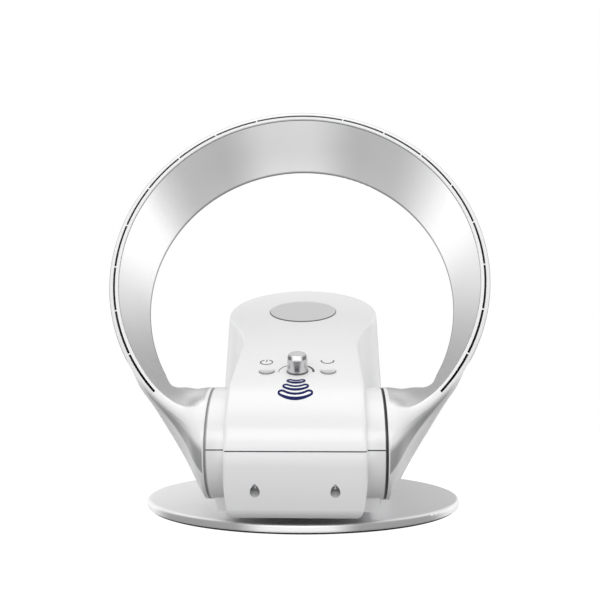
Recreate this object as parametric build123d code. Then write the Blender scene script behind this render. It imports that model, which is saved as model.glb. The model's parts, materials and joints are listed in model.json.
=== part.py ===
"""Bladeless table fan: a leaning air ring carried by two arms on a low white body over a round base.

Frame: origin at the centre of the base's underside, +Z up, +X to the viewer's right, +Y to the back.
All lengths are in millimetres and all angles in degrees.
"""
from build123d import *
import os
from math import sin, cos, tan, atan2, radians, degrees, pi, sqrt

stood = (Align.CENTER, Align.CENTER, Align.MIN)

os.makedirs("parts", exist_ok=True)

# ------------------------------------------------------------------ driving dimensions
# base
base_radius = 142.1          # steel disc that the fan stands on
disc_thick = 6.4
disc_edge_round = 2.4
pad_thick = 1.6              # foam sheet glued under the disc
pad_inset = 3.0              # the foam stops short of the rim

# swivel post and its drive
flange_radius = 42.0
flange_thick = 5.0
post_radius = 24.0
post_bore_radius = 10.0
washer_thick = 1.2
sleeve_wall = 4.0
sleeve_height = 25.8         # from the washer up to the drive gear
gear_module = 1.5
gear_teeth = 44
pinion_teeth = 14
gear_thick = 6.0
swing_motor_radius = 14.0
swing_motor_height = 19.0
swing_shaft_radius = 2.5
swing_shaft_offset = 8.0     # the gearmotor's shaft is off its can's centre

# body shells
shell_wall = 2.5
body_clearance = 7.8         # air between the disc and the lower shell
parting_height = 61.6        # height of the line between the two shells
groove_height = 0.9          # the visible line between the shells
groove_depth = 1.3
front_half_width = 49.2      # central block between the shoulders, and the panel above it
waist_back = 45.6            # panel's straight sides end this far behind the hub axis
keel_half_width = 60.4
keel_front = 15.0            # keel starts this far in front of the hub axis
keel_top = 56.6
keel_flare = 2.8             # the keel's sides draw in by this much towards its underside
head_radius = 72.0           # round column at the back, at the height of its flare's top
flare_top = 173.5
column_flare = 3.0           # degrees by which the column widens downwards
head_shift = 6.0             # column centre, behind the base's centre
panel_slope = 24.8           # the top panel rises to the back
front_radius = 51.2          # front of the body, round about the hub axis
front_bottom_lean = 7.0      # the lower front draws in by this much
bottom_round = 9.0
corner_height = 30.0         # the front block's sides draw in from this far above its underside
corner_width = 7.0
panel_edge_round = 3.0

# hub axis, about which the ring tilts
hub_forward = 123.6          # from the base's centre
hub_height = 63.8
shoulder_half_width = 62.85
shoulder_radius = 41.2
shoulder_wall = 2.0
hub_gap = 1.5                # dark joint between shoulder and arm
bush_wall = 2.6
spigot_wall = 3.0
spigot_length = 14.6         # how far an arm's spigot reaches into its shoulder
clip_thick = 1.5
hub_rim = 2.4                # short straight rim of an arm at the joint

# ring
ring_radius = 145.6          # centre line of the air slot
ring_rise = 132.3            # ring centre above the hub axis, along the ring's own upright
ring_forward = 32.8          # slot plane in front of the hub axis
ring_lean = 14.66            # lean to the back in the photographed pose
lip_outer = 4.0              # lip outside the slot's centre line
lip_inner = 2.9              # lip inside it
ring_depth = 71.5            # lip to back edge
ring_draw_in = 10.0          # the outer face draws in by this much from the lip to the back edge
back_thick = 5.4             # the ring's narrow back edge
ring_wall = 1.8
ring_bulge = 1.2             # outer face stands this far off a straight cone
slot_width = 1.7
slot_pitch = 15.0            # one bridge each 15 degrees, none at the top
slot_bridge = 1.1            # width of a bridge along the slot
slot_end = 134.4             # where the slot stops, from the top
ring_end = 121.5             # where the ring shells meet the arms, from the top
ring_corner = 125.5          # the arms keep the ring's own section down to here

# controls on the panel
knob_forward = 130.6         # knob, from the base's centre
knob_radius = 7.7
knob_height = 13.4
knob_edge = 2.6              # soft round of the knob's top
knob_taper = 1.0             # degrees
knob_shaft_radius = 3.0
bezel_radius = 8.3
bezel_thick = 0.6
button_offset = 23.3         # button centres, either side of the knob
button_radius = 5.8
button_proud = 1.4
button_travel = 0.8
badge_radius = 32.6
badge_forward = -5.8         # the badge's centre is behind the base's centre
badge_thick = 1.6
badge_recess = 1.1
board_depth = 9.5            # control board under the panel's outer face
board_size = (74.0, 24.0, 1.6)

# air path
impeller_radius = 38.0
impeller_height = 25.0
impeller_eye = 25.0
impeller_blades = 11
blade_thick = 1.4
diffuser_vanes = 13
blower_radius = 56.0
blower_wall = 2.0
blower_bottom = 48.6
blower_top = 86.6
throat_half_width = 30.0
motor_radius = 20.0
motor_height = 34.0
motor_shaft_radius = 2.5
duct_wall = 2.0
intake_low = 90.6
intake_high = 176.6
intake_half_angle = 58.0
louvre_pitch = 5.2
louvre_thick = 2.4
intake_ribs = 9
grille_frame = 3.0

# screws of the base
post_screw_circle = 34.0
post_screw_radius = 2.0
post_screw_head = 3.8
post_screw_head_height = 2.4
post_screws = 4

# screws and teeth of the gears
gear_screw_circle = 17.0
gear_screw_radius = 1.5
gear_screw_head = 3.0
gear_screw_head_height = 1.8
gear_screw_sink = 2.0        # counterbore of the gear's screws
gear_screw_bore = 9.0
gear_screws = 3
tooth_backlash = 0.25
flank_points = 5

# ears of the swing gearmotor
ear_reach = 17.5
ear_half_width = 3.5
ear_thick = 1.0
ear_screw_radius = 1.5
ear_screw_head = 2.8
ear_screw_head_height = 1.6
ear_screw_length = 9.0
ear_boss_radius = 3.4

# body form
body_reach = 240.0           # height of the blank, above the column's highest point

# fixings inside the body
boss_inset = 7.0             # boss centres inside the column's outside, at the parting line
boss_bearings = (60, 120)
well_top = 46.0
shell_screw_radius = 1.5
shell_screw_head = 3.0
shell_screw_head_height = 2.2
shell_screw_bite = 12.0      # length of a shell screw in the upper shell
shell_boss = 4.4
shell_boss_height = 15.0
blower_post_circle = 60.5
blower_post_bearings = (25, 155, 205, 335)
blower_post_radius = 3.4
blower_tab_radius = 4.2
blower_tab_thick = 3.0
blower_screw_radius = 1.5
blower_screw_head = 2.9
blower_screw_head_height = 1.8
blower_screw_length = 11.0
pocket_side = 27.2           # front screw pockets, either side of the middle
pocket_height = 34.9
pocket_half_width = 3.45
pocket_depth = 6.0
pocket_lean = 48.0           # the pockets run up and back, this far off upright
pocket_wall = 1.8
front_screw_length = 12.0
inlet_height = 26.0
inlet_nose = 5.5
inlet_inset = 0.6            # the socket's shoulder stays this far inside the wall's inner face
inlet_half_width = 7.0
inlet_body_depth = 11.0
inlet_bore = 3.2
inlet_bore_depth = 6.0
inlet_pin = 1.0

# upper shell and what sits on it
board_boss = 3.0
board_screw_radius = 1.1
board_screw_head = 2.0
board_screw_head_height = 1.3
board_screw_length = 6.5
knob_shaft_reach = 9.5       # depth of the shaft's bore in the knob

# controls
sensor_half = 6.0
switch_half = 3.1
switch_top = -6.0            # below the panel's outer face
plunger_radius = 1.7

# air duct and its supports
cradle_half = 5.0
cradle_front = 34.0          # ends of the saddles, from the hub axis
cradle_back = 14.0
cradle_drop = 12.0           # top of the saddles, under the hub axis

# blower
impeller_disc = 2.0
shroud_thick = 1.5
lid_screw_bearings = (0, 90, 180)
lid_screw_length = 8.0
lid_lug_radius = 3.6
throat_lap = 8.0             # the throat's roof reaches this far into the round plenum
lid_lug_height = 10.0
small_screw_radius = 1.25    # screws of the blower's lid and of the motor
small_screw_head = 2.4
small_screw_head_height = 1.5
spider_height = 7.0
spider_plate = 3.0
spider_arms = 3
motor_screw_circle = 12.0
motor_screw_bite = 5.0
motor_screws = 3
bearing_radius = 6.0
bearing_height = 4.0

# electronics in the lower shell
main_board_half_width = 19.0
main_board_forward = 36.0    # from the hub axis
main_board_back = 30.0
main_board_thick = 1.6
board_pad_inset = 4.0
board_pad_radius = 3.0
capacitor_radius = 4.0
capacitor_height = 13.0
capacitor_offset = 5.5
capacitor_inset = 6.0
capacitor_edge = 0.8
sink_half_width = 11.0
sink_half_depth = 4.0
sink_plate = 3.0
sink_height = 11.0
sink_inset = 5.0
fin_thick = 1.4
sink_fins = 5

# arms
nose_retreat = 3.0           # the arm's air space stays this far inside the ring's nose
# Sections of the arm as (x, up from the hub axis, depth behind the slot plane). Corners and middles of the
# arcs alternate: ridge's upper edge, ridge, ridge's lower edge, hollow, crease, flank, lower back, back,
# upper back, top.
arm_root = [(102.0, 32.5, 0.0), (104.2, 30.2, -0.8), (106.9, 27.6, 0.6), (107.9, 26.4, 4.0), (108.2, 25.0, 8.5),
            (106.8, 21.5, 22.0), (101.5, 27.0, 59.0), (98.5, 40.0, 67.0), (98.0, 50.5, 62.0), (98.8, 40.2, 29.0)]
arm_waist = [(85.0, 21.5, 0.0), (85.2, 16.5, -2.4), (85.5, 11.6, -1.2), (86.5, 9.0, 6.5), (87.2, 4.0, 14.0),
             (86.5, -7.5, 24.2), (85.0, 4.0, 58.0), (85.0, 25.0, 66.0), (85.5, 46.3, 50.0), (85.0, 35.8, 23.0)]
arm_neck = [(76.5, 20.6, -1.2), (76.6, 13.0, -5.2), (76.7, 4.0, -4.8), (77.0, -3.6, 0.6), (77.2, -12.0, 9.0),
            (76.8, -23.8, 24.0), (76.5, -17.0, 56.0), (76.5, 15.0, 70.0), (76.5, 43.4, 42.0), (76.5, 35.6, 17.0)]
arm_hub_bearings = [30, 12, -7, -25, -43, -80, -120, -192.5, 95, 62]
duct_root = [(103.0, 31.6, 3.4), (104.4, 30.2, 3.0), (105.6, 28.8, 3.8), (104.6, 26.5, 28.0), (100.8, 30.5, 54.0),
             (98.8, 36.6, 61.5), (97.2, 43.0, 57.0), (99.8, 37.0, 28.0)]
duct_waist = [(86.0, 24.5, 5.5), (86.0, 19.0, 4.0), (86.0, 13.5, 6.5), (86.0, 0.5, 28.0), (86.0, 10.0, 53.0),
              (86.0, 24.0, 60.0), (86.0, 38.0, 50.0), (86.0, 34.0, 26.0)]
duct_neck = [(77.0, 22.0, 5.2), (77.0, 9.0, 3.0), (77.0, -4.0, 9.0), (77.0, -15.5, 28.0), (77.0, -8.0, 51.0),
             (77.0, 13.5, 61.5), (77.0, 35.0, 46.0), (77.0, 34.0, 22.0)]
duct_hub_bearings = [38, 2, -34, -90, -140, -186, 130, 84]

# fits and clearances
running_fit = 0.05           # radial, shaft in bush
slide_gap = 0.05             # between flat faces that turn on each other
cap_gap = 0.3                # round a moving cap
seat_gap = 0.05              # between pieces of one body
tip_gap = 1.0                # beyond a screw's tip
root = 0.5                   # how far a boss reaches into the wall that it stands on
far = 500.0                  # beyond every piece

# ------------------------------------------------------------------ derived places
disc_top = pad_thick + disc_thick
flange_top = disc_top + flange_thick
washer_top = flange_top + washer_thick
foot_bottom = washer_top + slide_gap
shell_bottom = disc_top + body_clearance
floor_top = shell_bottom + shell_wall
sleeve_top = foot_bottom + sleeve_height
gear_bottom = sleeve_top + slide_gap
gear_top = gear_bottom + gear_thick
gear_pitch_radius = gear_module * gear_teeth / 2
pinion_pitch_radius = gear_module * pinion_teeth / 2
gear_centres = gear_pitch_radius + pinion_pitch_radius
hub_y = -hub_forward
waist_y = hub_y + waist_back
head_y = head_shift
lip_outer_radius = ring_radius + lip_outer
lip_inner_radius = ring_radius - lip_inner
back_outer_radius = lip_outer_radius - ring_draw_in
back_inner_radius = back_outer_radius - back_thick
shoulder_bore = shoulder_radius - shoulder_wall
spigot_radius = shoulder_bore - bush_wall - running_fit
spigot_bore = spigot_radius - spigot_wall
arm_face = shoulder_half_width + hub_gap
spigot_end = arm_face - spigot_length
slope = radians(panel_slope)
flare = tan(radians(column_flare))
knob_y = -knob_forward
badge_y = -badge_forward
panel_normal = Vector(0, -sin(slope), cos(slope))
ring_place = Pos(0, hub_y, hub_height) * Rot(X=-ring_lean)   # upright ring frame to the leaned one
addendum = 0.85 * gear_module
dedendum = 1.25 * gear_module
pressure_angle = radians(20)
pinion_place = Pos(0, -gear_centres, 0)
half_tooth_turn = 180 / pinion_teeth
swing_can_place = Pos(0, -gear_centres - swing_shaft_offset, 0)
swing_can_top = floor_top + swing_motor_height
pocket_axis = Vector(0, sin(radians(pocket_lean)), cos(radians(pocket_lean)))
board_screw_x = board_size[0] / 2 - 4.0
board_screw_y = board_size[1] / 2 - 3.5
knob_hole = knob_shaft_radius + 0.6
button_flange = button_radius + 1.2
duct_bore = spigot_bore - 0.5
duct_outer = duct_bore + duct_wall
duct_end = spigot_end - 0.6
seal_start = front_half_width - shell_wall + 0.1
diffuser_inner = impeller_radius + 2.0
diffuser_outer = diffuser_inner + 8.0
impeller_floor = blower_bottom + blower_wall + 2.0
lid_screw_circle = blower_radius + 2.0
motor_bottom = blower_top + spider_height
main_board_bottom = floor_top + 3.0
main_board_ys = (hub_y - main_board_forward, hub_y + main_board_back)
board_pad_x = main_board_half_width - board_pad_inset
board_pad_ys = (main_board_ys[0] + board_pad_inset, main_board_ys[1] - board_pad_inset)
ring_axis = Axis((0, 0, ring_rise), (0, 1, 0))
hub_x = arm_face + hub_rim
seam_low = parting_height - groove_height / 2
seam_high = parting_height + groove_height / 2


def column_radius(height):
    """Outer radius of the flared column at a height."""
    return head_radius + (flare_top - height) * flare


def panel_z(y):
    """Height of the sloping panel, which is tangent to the round front."""
    return hub_height + front_radius / cos(slope) + (y - hub_y) * tan(slope)


panel_plane = Plane(origin=(0, knob_y, panel_z(knob_y)), x_dir=(1, 0, 0), z_dir=panel_normal)
badge_plane = Plane(origin=(0, badge_y, panel_z(badge_y)), x_dir=(1, 0, 0), z_dir=panel_normal)


# ------------------------------------------------------------------ small helpers
def rod(radius, low, high):
    """Upright round bar from one height to another."""
    return Pos(0, 0, low) * Cylinder(radius, high - low, align=stood)


def tube(outer, inner, low, high):
    """Upright round tube; its bore is cut right through."""
    return rod(outer, low, high) - rod(inner, low - 1, high + 1)


def block(x_span, y_span, z_span):
    """Box between two values on each axis."""
    size = [span[1] - span[0] for span in (x_span, y_span, z_span)]
    centre = [(span[1] + span[0]) / 2 for span in (x_span, y_span, z_span)]
    return Pos(*centre) * Box(*size)


def cross_rod(radius, left, right):
    """Round bar along X about the hub axis."""
    return Pos(0, hub_y, hub_height) * Rot(Y=90) * rod(radius, left, right)


def cross_tube(outer, inner, left, right):
    """Round tube along X about the hub axis."""
    return cross_rod(outer, left, right) - cross_rod(inner, left - 1, right + 1)


def around(shape, count, start=0.0):
    """Copies of a shape, evenly turned about Z."""
    return [Rot(Z=start + k * 360 / count) * shape for k in range(count)]


def joined(shapes):
    """Union of a list of shapes."""
    whole = shapes[0]
    for shape in shapes[1:]:
        whole = whole + shape
    return whole


def outline_face(*curves):
    """Flat face inside a closed chain of curves."""
    return make_face(Wire([edge for curve in curves for edge in curve.edges()]))


def mirrored(shape):
    """The same piece on the other side of the body."""
    return mirror(shape, about=Plane.YZ)


def save(name, *shapes):
    """Writes one node; several shapes stay separate solids in it."""
    solids = [solid for shape in shapes for solid in shape.solids()]
    node = solids[0] if len(solids) == 1 else Compound(children=solids)
    node.label = name
    export_step(node, f"parts/{name}.step")


def screw(head_radius, head_height, shank_radius, length):
    """Pan-head screw pointing down from Z = 0, its head above."""
    head = rod(head_radius, 0, head_height)
    cross = Box(head_radius * 1.1, head_radius * 0.25, head_height, align=stood)
    drive = Pos(0, 0, head_height * 0.5) * (cross + Rot(Z=90) * cross)
    return (head - drive) + rod(shank_radius, -length, 0)


# ------------------------------------------------------------------ base
def post_screw_places():
    return [Rot(Z=45 + k * 360 / post_screws) * Pos(post_screw_circle, 0, 0) for k in range(post_screws)]


def make_base_pad():
    return rod(base_radius - pad_inset, 0, pad_thick)


def make_base_disc():
    disc = rod(base_radius, pad_thick, disc_top)
    top_edge = disc.edges().sort_by(Axis.Z)[-1]
    disc = fillet(top_edge, disc_edge_round)
    low_edge = disc.edges().sort_by(Axis.Z)[0]
    disc = fillet(low_edge, disc_edge_round / 2)
    for place in post_screw_places():
        disc -= place * rod(post_screw_radius + seat_gap, 0, disc_top + 1)
        disc -= place * rod(post_screw_head + cap_gap, 0, pad_thick + post_screw_head_height + seat_gap)
    return disc


def make_pivot_post():
    post = rod(flange_radius, disc_top, flange_top) + rod(post_radius, flange_top, gear_bottom)
    post -= rod(post_bore_radius, 0, gear_bottom + 1)
    for place in post_screw_places():
        post -= place * rod(post_screw_radius + seat_gap, 0, flange_top - 0.8)
    for place in gear_screw_places():
        post -= place * rod(gear_screw_radius + seat_gap, gear_bottom - gear_screw_bore, gear_bottom + 1)
    return post


def make_post_screws():
    length = flange_top - 1.0 - (pad_thick + post_screw_head_height)
    one = Pos(0, 0, pad_thick + post_screw_head_height) * Rot(X=180) * screw(
        post_screw_head, post_screw_head_height, post_screw_radius, length)
    return [place * one for place in post_screw_places()]


def make_thrust_washer():
    return tube(flange_radius - 1.0, post_radius + 1.5, flange_top, washer_top)


# ------------------------------------------------------------------ gears
def gear_screw_places():
    return [Rot(Z=90 + k * 360 / gear_screws) * Pos(gear_screw_circle, 0, 0) for k in range(gear_screws)]


def flank_angle(radius, base):
    """Involute angle at a radius, from where the flank leaves the base circle."""
    if radius <= base:
        return 0.0
    alpha = sqrt((radius / base) ** 2 - 1)
    return alpha - atan2(alpha, 1)


def gear_outline(teeth):
    """Closed outline of an involute gear with a tooth on +X."""
    pitch = gear_module * teeth / 2
    base = pitch * cos(pressure_angle)
    tip = pitch + addendum
    root = pitch - dedendum
    half_tooth = (pi * gear_module / 2 - tooth_backlash) / 2 / pitch
    start = max(root, base)
    radii = [start + (tip - start) * k / (flank_points - 1) for k in range(flank_points)]
    lead = half_tooth + flank_angle(pitch, base)
    flank = [(r, lead - flank_angle(r, base)) for r in radii]
    half = [(root, lead + 0.0)] + flank if root < start else flank
    points = []
    for k in range(teeth):
        middle = 2 * pi * k / teeth
        for r, turn in half:
            points.append((r * cos(middle - turn), r * sin(middle - turn)))
        for r, turn in reversed(half):
            points.append((r * cos(middle + turn), r * sin(middle + turn)))
    return make_face(Polyline(*points, close=True))


def make_drive_gear():
    gear = Rot(Z=-90) * extrude(gear_outline(gear_teeth), gear_thick)
    gear = Pos(0, 0, gear_bottom) * gear - rod(post_bore_radius, 0, gear_top + 1)
    for place in gear_screw_places():
        gear -= place * rod(gear_screw_radius + seat_gap, gear_bottom - 1, gear_top + 1)
        gear -= place * rod(gear_screw_head + cap_gap, gear_top - gear_screw_sink, gear_top + 1)
    return gear


def make_gear_screws():
    length = gear_thick - gear_screw_sink + gear_screw_bore - tip_gap
    one = screw(gear_screw_head, gear_screw_head_height, gear_screw_radius, length)
    return [place * Pos(0, 0, gear_top - gear_screw_sink) * one for place in gear_screw_places()]


def make_drive_pinion():
    """Gap of the pinion faces the tooth of the fixed gear."""
    blank = extrude(gear_outline(pinion_teeth), gear_thick)
    pinion = Rot(Z=90 + half_tooth_turn) * blank
    hub = rod(swing_shaft_radius + 2.0, -1.0, 0)
    pinion = pinion + hub - rod(swing_shaft_radius + running_fit / 2, -2, gear_thick + 1)
    return pinion_place * Pos(0, 0, gear_bottom) * pinion


# ------------------------------------------------------------------ swing gearmotor
def make_swing_motor():
    can = rod(swing_motor_radius, floor_top, swing_can_top)
    ears = block((-ear_reach - ear_half_width, ear_reach + ear_half_width), (-ear_half_width, ear_half_width),
                 (swing_can_top - ear_thick, swing_can_top))
    motor = swing_can_place * (can + ears) + pinion_place * rod(4.5, swing_can_top, swing_can_top + 1.0)
    bore = rod(ear_screw_radius + seat_gap, floor_top, swing_can_top + 1)
    for side in (-1, 1):
        motor -= swing_can_place * Pos(side * ear_reach, 0, 0) * bore
    return motor - pinion_place * rod(swing_shaft_radius + running_fit, swing_can_top - 8.0, gear_top)


def make_swing_shaft():
    return pinion_place * rod(swing_shaft_radius, swing_can_top - 7.5, gear_top - 0.5)


def ear_bosses():
    """Posts on the floor under the motor's ears."""
    boss = tube(ear_boss_radius, ear_screw_radius + seat_gap, floor_top - root, swing_can_top - ear_thick)
    return [swing_can_place * Pos(side * ear_reach, 0, 0) * boss for side in (-1, 1)]


def make_swing_motor_screws():
    one = screw(ear_screw_head, ear_screw_head_height, ear_screw_radius, ear_screw_length)
    return [swing_can_place * Pos(side * ear_reach, 0, swing_can_top) * one for side in (-1, 1)]


# ------------------------------------------------------------------ body form
def plan_outline(inset, height):
    """Level section through the column, the narrow panel in front and the round fillets between them."""
    column = column_radius(height) - inset
    waist = front_half_width - inset
    front_y = hub_y - front_radius - 5
    drop = head_y - waist_y
    # the fillet circle touches the panel's straight side and the column from outside
    fillet_radius = (waist ** 2 + drop ** 2 - column ** 2) / (2 * (column - waist))
    centre_x = waist + fillet_radius
    bearing = atan2(drop, centre_x)
    touch = (column * cos(bearing), head_y - column * sin(bearing))
    mid = (centre_x - fillet_radius * cos(bearing / 2), waist_y + fillet_radius * sin(bearing / 2))
    half = [Line((waist, front_y), (waist, waist_y)), ThreePointArc((waist, waist_y), mid, touch)]
    back = ThreePointArc(touch, (0, head_y + column), (-touch[0], touch[1]))
    front = Line((-waist, front_y), (waist, front_y))
    curves = [*half, back, *[mirrored(edge) for edge in half], front]
    return Pos(0, 0, height) * Wire([edge for curve in curves for edge in curve.edges()])


def side_outline(inset):
    """Side view of the body from its floor to the sloping panel, drawn in X = y, Y = z."""
    nose = front_radius - inset
    low = shell_bottom + inset
    tangent = (hub_y - nose * sin(slope), hub_height + nose * cos(slope))
    nose_tip = (hub_y - nose, hub_height)
    half_turn = pi - (pi / 2 - slope) / 2
    mid = (hub_y + nose * cos(half_turn), hub_height + nose * sin(half_turn))
    back = head_y + column_radius(0) + 5
    top = tangent[1] + (back - tangent[0]) * tan(slope)
    chin = (nose_tip[0] + front_bottom_lean, low)
    chin_arc = TangentArc(nose_tip, chin, tangent=(0, -1))
    walls = Polyline(chin, (back, low), (back, top), tangent)
    face = outline_face(chin_arc, walls, ThreePointArc(tangent, mid, nose_tip))
    corner = face.vertices().sort_by_distance((chin[0], chin[1], 0))[0]
    return fillet(corner, bottom_round - inset)


def round_panel_edges(core):
    """Soft edge all round the sloping panel and down both sides of the front."""
    def on_rim(edge):
        box = edge.bounding_box().size
        place = edge.center()
        upright = place.Y > waist_y - 1 and box.Z > 60 and place.Z < hub_height + front_radius
        along_x = box.Y < 0.01 and box.Z < 0.01
        return not (upright or along_x or place.Z < shell_bottom + 0.01)
    return fillet([edge for edge in core.edges() if on_rim(edge)], panel_edge_round)


def corner_cutters(inset):
    """Cutters that draw the front block's sides in, ever more towards its lower corners."""
    edge = front_half_width - inset
    low = shell_bottom + inset
    side_middle = (edge - corner_width * 0.14, low + corner_height * 0.58)
    side_end = (edge - corner_width * 0.42, low + corner_height * 0.2)
    side = ThreePointArc((edge, low + corner_height), side_middle, side_end)
    corner_middle = (edge - corner_width * 0.64, low + corner_height * 0.08)
    corner = ThreePointArc(side @ 1, corner_middle, (edge - corner_width, low))
    outside = [(edge - corner_width, low - 1), (edge + 9, low - 1), (edge + 9, low + corner_height)]
    rest = Polyline(corner @ 1, *outside, side @ 0)
    cutter = Pos(0, hub_y - keel_front, 0) * extrude(Plane.XZ * outline_face(side, corner, rest), 60)
    return [cutter, mirrored(cutter)]


def keel_form(inset):
    """Low block under the shoulders, its sides drawn in towards the underside."""
    wide = keel_half_width - inset
    low, high = shell_bottom + inset, keel_top - inset
    narrow = wide - keel_flare
    shoulder = high - keel_flare * 1.5
    points = [(narrow, low), (wide, low + 12), (wide, shoulder), (narrow, high)]
    points += [(-x, z) for x, z in reversed(points)]
    outline = make_face(Polyline(*points, close=True))
    start = hub_y - keel_front + inset
    return Pos(0, head_y, 0) * extrude(Plane.XZ * outline, head_y - start)


def body_form(inset, shoulder_reach=shoulder_half_width):
    """Closed form of the whole body, drawn in by an inset: panel, column, keel and shoulders."""
    blank = Solid.make_loft([plan_outline(inset, height) for height in (0, body_reach)])
    core = blank & extrude(Plane.YZ * side_outline(inset), far, both=True)
    if inset == 0:
        core = round_panel_edges(core)
    shoulders = cross_rod(max(shoulder_radius - inset, shoulder_bore), -shoulder_reach, shoulder_reach)
    return core - corner_cutters(inset) + keel_form(inset) + shoulders


def slab(low, high):
    """Everything between two heights."""
    return block((-far, far), (-far, far), (low, high))


# ------------------------------------------------------------------ fixings inside the body
boss_circle = column_radius(parting_height) - boss_inset
inlet_back = head_y + column_radius(inlet_height + inlet_nose)


def in_head(bearing, circle):
    """Place on a circle about the column's axis; bearing 90 is straight back."""
    return Pos(0, head_y, 0) * Rot(Z=bearing) * Pos(circle, 0, 0)


def front_face_y(height):
    """Front face of the lower shell at a height: an arc tangent to the round front."""
    drop = hub_height - shell_bottom
    arc = (front_bottom_lean ** 2 + drop ** 2) / (2 * front_bottom_lean)
    return hub_y - front_radius + arc - sqrt(arc ** 2 - (hub_height - height) ** 2)


def pocket_place(side):
    """Frame on the seat of a front screw, its Z pointing out of the pocket."""
    mouth = Vector(side * pocket_side, front_face_y(pocket_height), pocket_height)
    return Plane(origin=mouth + pocket_axis * pocket_depth, x_dir=(1, 0, 0), z_dir=-pocket_axis)


def pocket_prism(width, low, high):
    """Bar with a pointed arch for its section, on a pocket's axis."""
    point = (0, width * 1.3)
    flank = (width * 0.72, width * 0.62)
    foot = (width, -width * 0.2)
    arch = [ThreePointArc(point, flank, foot), ThreePointArc(foot, (0, -width), (-foot[0], foot[1])),
            ThreePointArc((-foot[0], foot[1]), (-flank[0], flank[1]), point)]
    return Pos(0, 0, low) * extrude(outline_face(*arch), high - low)


# ------------------------------------------------------------------ lower shell
def shell_screw_bosses():
    boss = rod(shell_boss + 0.8, floor_top - root, seam_high)
    return joined([in_head(b, boss_circle) * boss for b in boss_bearings])


def lower_fixings():
    """Sleeve, foot ring, posts and bosses that stand on the lower shell's floor."""
    sleeve_radius = post_radius + running_fit + sleeve_wall
    parts = [rod(sleeve_radius, foot_bottom, sleeve_top),
             rod(flange_radius - 2.0, foot_bottom, shell_bottom + 0.5)]
    parts += ear_bosses()
    post = rod(blower_post_radius, floor_top - root, blower_bottom)
    parts += [in_head(b, blower_post_circle) * post for b in blower_post_bearings]
    pad = rod(board_pad_radius, floor_top - root, main_board_bottom)
    parts += [Pos(x, y, 0) * pad for x in (-board_pad_x, board_pad_x) for y in board_pad_ys]
    return parts


def blower_screw_bores():
    """Bores of the blower's screws, from above its tabs down past the screws' tips."""
    low = blower_bottom + blower_tab_thick - blower_screw_length - tip_gap
    bore = rod(blower_screw_radius + seat_gap, low, blower_bottom + blower_tab_thick + 1)
    return [in_head(b, blower_post_circle) * bore for b in blower_post_bearings]


def make_lower_shell(form, void, tongue_form):
    shell = (form - void) & slab(0, seam_low)
    shell += (tongue_form - void) & slab(seam_low - 0.5, seam_high)
    shell += shell_screw_bosses() & form
    for side in (-1, 1):
        seat = pocket_place(side) * pocket_prism(pocket_half_width + pocket_wall, -2.0, 20)
        shell += seat & form & slab(0, seam_low)
    shell = shell + lower_fixings()
    shell -= rod(post_radius + running_fit, 0, sleeve_top + 1)
    shell -= [in_head(b, boss_circle) * rod(shell_screw_head + cap_gap, 0, well_top) for b in boss_bearings]
    bore = rod(shell_screw_radius + seat_gap, 0, seam_high + 1)
    shell -= [in_head(b, boss_circle) * bore for b in boss_bearings]
    shell -= blower_screw_bores()
    for side in (-1, 1):
        shell -= pocket_place(side) * pocket_prism(pocket_half_width, 0, 20)
        shell -= pocket_place(side) * rod(shell_screw_radius + seat_gap, -front_screw_length, 1)
    shell -= Pos(0, inlet_back, inlet_height) * Rot(X=90) * Cylinder(inlet_nose + seat_gap, 20)
    return shell


def make_shell_screws():
    one = Pos(0, 0, well_top) * Rot(X=180) * screw(
        shell_screw_head, shell_screw_head_height, shell_screw_radius, seam_high + shell_screw_bite - well_top)
    return [in_head(b, boss_circle) * one for b in boss_bearings]


def make_front_screws():
    one = screw(shell_screw_head, shell_screw_head_height, shell_screw_radius, front_screw_length)
    return [pocket_place(side) * one for side in (-1, 1)]


# ------------------------------------------------------------------ upper shell and what sits on it
def sector(low, high, half_angle):
    """Everything straight behind the column's axis within an angle, between two heights."""
    side = (far * sin(radians(half_angle)), far * cos(radians(half_angle)))
    wedge = make_face(Polyline((0, 0), side, (0, 2 * far), (-side[0], side[1]), close=True))
    return Pos(0, head_y, low) * extrude(wedge, high - low)


def column_skin(low, high, thick):
    """Flared tube that follows the column's outside, of a given thickness."""
    outer = Cone(column_radius(low), column_radius(high), high - low, align=stood)
    inner = Cone(column_radius(low) - thick, column_radius(high) - thick, high - low,
                 align=stood)
    return Pos(0, head_y, low) * (outer - inner)


def board_boss_places():
    corners = [(x, y) for x in (-board_screw_x, board_screw_x) for y in (-board_screw_y, board_screw_y)]
    return [panel_plane * Pos(x, y, 0) for x, y in corners]


def make_upper_shell(form, void):
    shell = (form - void) & slab(seam_high, far)
    boss = rod(shell_boss, seam_high, seam_high + shell_boss_height)
    shell = shell + [(in_head(b, boss_circle) * boss) & form for b in boss_bearings]
    shell = shell + [place * rod(board_boss, -board_depth, -1.0) for place in board_boss_places()]
    screw_bore = rod(shell_screw_radius + seat_gap, 0, seam_high + shell_screw_bite + tip_gap)
    shell -= [in_head(b, boss_circle) * screw_bore for b in boss_bearings]
    board_bore_end = board_screw_length + tip_gap - board_depth - board_size[2]
    board_bore = rod(board_screw_radius + seat_gap, -board_depth - 1, board_bore_end)
    shell -= [place * board_bore for place in board_boss_places()]
    shell -= sector(intake_low, intake_high, intake_half_angle)
    shell -= badge_plane * rod(badge_radius + seat_gap * 3, -badge_recess, 20)
    shell -= panel_plane * rod(knob_hole, -6, 20)
    for side in (-1, 1):
        shell -= panel_plane * Pos(side * button_offset, 0, 0) * rod(button_radius + cap_gap, -6, 20)
    return shell


def make_badge():
    disc = rod(badge_radius, -badge_recess, badge_thick - badge_recess)
    rim = disc.edges().filter_by(GeomType.CIRCLE).sort_by(Axis.Z)[-1]
    return badge_plane * fillet(rim, 0.3)


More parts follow.
